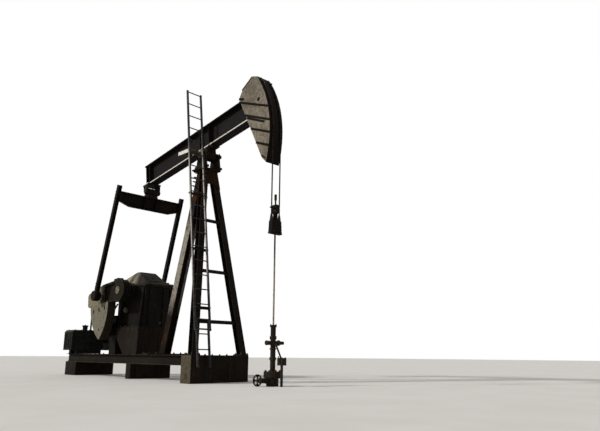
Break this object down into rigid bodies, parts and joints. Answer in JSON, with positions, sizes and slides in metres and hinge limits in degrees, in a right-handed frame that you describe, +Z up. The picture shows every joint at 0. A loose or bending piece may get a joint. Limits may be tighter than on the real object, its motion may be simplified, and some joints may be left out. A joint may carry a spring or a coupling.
{
  "type": "crank-balanced beam pumping unit",
  "caption": "Beam pumping unit for a well: base, three-legged post with ladder, walking beam with horse head, pitmans, cranks with counterweights, gear reducer, engine and wellhead.",
  "frame": {"origin": "centre of the front pedestal's underside, on the ground, under the unit's middle plane", "axes": "+X from the post towards the well, +Y to the far side, +Z up"},
  "size_m": [7.5493, 1.888, 6.2362],
  "materials": {
    "dark_steel": "dark weathered paint with dust and oil stains",
    "post_paint": "dark brown weathered paint with rust at the top",
    "rusty_steel": "flaked dark paint over orange-brown rust",
    "bare_steel": "bare steel, greased and slightly stained",
    "ladder_steel": "dull grey worn steel",
    "reducer_paint": "dark oily paint on cast iron",
    "engine_paint": "dark dusty paint",
    "beam_paint": "dark brown-black weathered paint",
    "head_paint": "faded grey-brown paint with dark streaks and welds",
    "pitman_paint": "dark brown weathered paint",
    "crank_paint": "faded paint on cast iron",
    "well_steel": "dark paint with grease and rust"
  },
  "bodies": {
    "base": {"front_pedestal": "dark_steel", "base_rail_near": "dark_steel", "base_rail_far": "dark_steel", "base_cross_beams": "dark_steel", "base_supports": "dark_steel", "front_leg_near": "post_paint", "front_leg_far": "post_paint", "rear_leg": "post_paint", "leg_braces": "post_paint", "post_gusset": "rusty_steel", "post_cap": "rusty_steel", "saddle_stand": "post_paint", "saddle_shaft": "bare_steel", "ladder_upper": "ladder_steel", "ladder_lower": "ladder_steel", "ladder_brackets": "post_paint", "work_platform": "ladder_steel", "reducer_pedestal": "dark_steel", "gear_case": "reducer_paint", "gear_case_cover": "reducer_paint", "brake": "reducer_paint", "belt_guard": "reducer_paint", "engine": "engine_paint", "engine_fittings": "engine_paint", "casing_head": "well_steel", "casing_valve": "well_steel", "tubing_tee": "well_steel", "flow_riser": "well_steel", "stuffing_box": "well_steel"},
    "beam": {"walking_beam": "beam_paint", "saddle_housing": "post_paint", "head_side_near": "head_paint", "head_side_far": "head_paint", "head_face": "beam_paint", "head_cross_plates": "beam_paint", "bridle_wrap": "bare_steel", "tail_bracket": "beam_paint"},
    "pitmans": {"equalizer_beam": "pitman_paint", "equalizer_bearing": "pitman_paint", "pitman_near": "pitman_paint", "pitman_far": "pitman_paint", "wrist_bearings": "pitman_paint"},
    "cranks": {"crankshaft": "bare_steel", "crank_near": "crank_paint", "crank_far": "crank_paint", "weight_near": "crank_paint", "weight_far": "crank_paint", "wrist_pins": "bare_steel"},
    "rod": {"carrier_bar": "well_steel", "rod_clamp": "well_steel", "polished_rod": "bare_steel", "bridle_wires": "bare_steel"}
  },
  "joints": [
    {"name": "beam_rock", "type": "hinge", "parent": "base", "child": "beam", "pos_m": [-0.54, 0, 4.8], "axis": [0, -1, 0], "range_deg": [-23.3, 14.1]},
    {"name": "pitman_swing", "type": "hinge", "parent": "beam", "child": "pitmans", "pos_m": [-2.8282, 0, 4.4171], "axis": [0, -1, 0], "range_deg": [-14.2, 23.4]},
    {"name": "rod_slide", "type": "slide", "parent": "base", "child": "rod", "axis": [0, 0, 1], "range_m": [-0.893, 0.541], "deforming": ["bridle_wires"]},
    {"name": "crank_turn", "type": "hinge", "parent": "base", "child": "cranks", "pos_m": [-2.82, 0, 1.95], "axis": [0, -1, 0], "continuous": true}
  ],
  "couplings": [
    {"joint": "pitman_swing", "follows": "beam_rock", "ratio": -1},
    {"joint": "rod_slide", "follows": "beam_rock", "m_per_rad": 2.1943}
  ]
}
